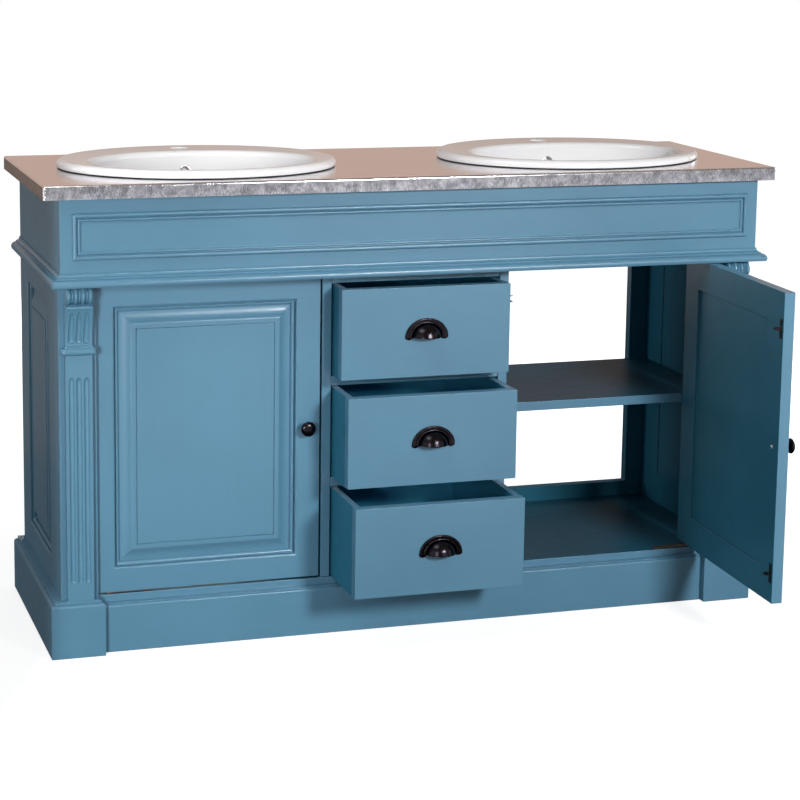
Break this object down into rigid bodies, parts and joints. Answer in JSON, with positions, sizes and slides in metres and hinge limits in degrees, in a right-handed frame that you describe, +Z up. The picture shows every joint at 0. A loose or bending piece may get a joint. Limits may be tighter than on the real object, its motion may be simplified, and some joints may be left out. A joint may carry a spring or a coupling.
{
  "type": "vanity unit",
  "caption": "Painted double-basin vanity unit with a metal-clad worktop, oval drop-in basins, panelled doors on pivot hinges, sliding drawers with cup pulls and an open framed back.",
  "frame": {"origin": "on the floor, under the middle of the worktop, on the underside of the middle floor bearer", "axes": "+X along the unit's width to the right as seen from the front, +Y from the front to the wall, +Z up"},
  "size_m": [1.4, 0.799, 0.8758],
  "materials": {
    "painted_wood": "satin teal-blue paint",
    "worktop_board": "raw fibreboard",
    "worktop_sheet": "mottled burnished sheet metal",
    "basin_china": "gloss white glaze",
    "bronze_hardware": "dark bronze patina",
    "hinge_brass": "satin brass",
    "catch_iron": "black satin"
  },
  "bodies": {
    "cabinet": {"worktop_core": "worktop_board", "worktop_cladding": "worktop_sheet", "left_basin": "basin_china", "right_basin": "basin_china", "left_side_frame": "painted_wood", "right_side_frame": "painted_wood", "left_side_panel": "painted_wood", "right_side_panel": "painted_wood", "left_corner_post": "painted_wood", "right_corner_post": "painted_wood", "left_pilaster": "painted_wood", "right_pilaster": "painted_wood", "bottom_board": "painted_wood", "left_divider": "painted_wood", "right_divider": "painted_wood", "left_shelf": "painted_wood", "right_shelf": "painted_wood", "front_cross_rail": "painted_wood", "back_frame": "painted_wood", "front_frieze": "painted_wood", "frieze_moulding": "painted_wood", "waist_moulding": "painted_wood", "front_plinth": "painted_wood", "left_plinth": "painted_wood", "right_plinth": "painted_wood", "floor_bearer": "painted_wood", "drawer_top_rail": "painted_wood", "upper_drawer_rail": "painted_wood", "lower_drawer_rail": "painted_wood", "left_lower_hinge_plate": "hinge_brass", "left_upper_hinge_plate": "hinge_brass", "right_lower_hinge_plate": "hinge_brass", "right_upper_hinge_plate": "hinge_brass", "left_lower_catch_clip": "catch_iron", "left_upper_catch_clip": "catch_iron", "right_lower_catch_clip": "catch_iron", "right_upper_catch_clip": "catch_iron"},
    "left_door": {"left_door_frame": "painted_wood", "left_door_panel": "painted_wood", "left_door_knob": "bronze_hardware", "left_lower_strike": "catch_iron", "left_upper_strike": "catch_iron", "left_lower_hinge_arm": "hinge_brass", "left_upper_hinge_arm": "hinge_brass"},
    "right_door": {"right_door_frame": "painted_wood", "right_door_panel": "painted_wood", "right_door_knob": "bronze_hardware", "right_lower_strike": "catch_iron", "right_upper_strike": "catch_iron", "right_lower_hinge_arm": "hinge_brass", "right_upper_hinge_arm": "hinge_brass"},
    "upper_drawer": {"upper_drawer_front": "painted_wood", "upper_drawer_box": "painted_wood", "upper_drawer_pull": "bronze_hardware"},
    "middle_drawer": {"middle_drawer_front": "painted_wood", "middle_drawer_box": "painted_wood", "middle_drawer_pull": "bronze_hardware"},
    "lower_drawer": {"lower_drawer_front": "painted_wood", "lower_drawer_box": "painted_wood", "lower_drawer_pull": "bronze_hardware"}
  },
  "joints": [
    {"name": "left_door_swing", "type": "hinge", "parent": "cabinet", "child": "left_door", "pos_m": [-0.578, -0.1683, 0.393], "axis": [0, 0, -1], "range_deg": [0, 100]},
    {"name": "right_door_swing", "type": "hinge", "parent": "cabinet", "child": "right_door", "pos_m": [0.578, -0.1683, 0.393], "axis": [0, 0, 1], "range_deg": [-88, 12]},
    {"name": "upper_drawer_slide", "type": "slide", "parent": "cabinet", "child": "upper_drawer", "axis": [0, -1, 0], "range_m": [-0.06, 0.21]},
    {"name": "middle_drawer_slide", "type": "slide", "parent": "cabinet", "child": "middle_drawer", "axis": [0, -1, 0], "range_m": [-0.107, 0.163]},
    {"name": "lower_drawer_slide", "type": "slide", "parent": "cabinet", "child": "lower_drawer", "axis": [0, -1, 0], "range_m": [-0.158, 0.112]}
  ]
}
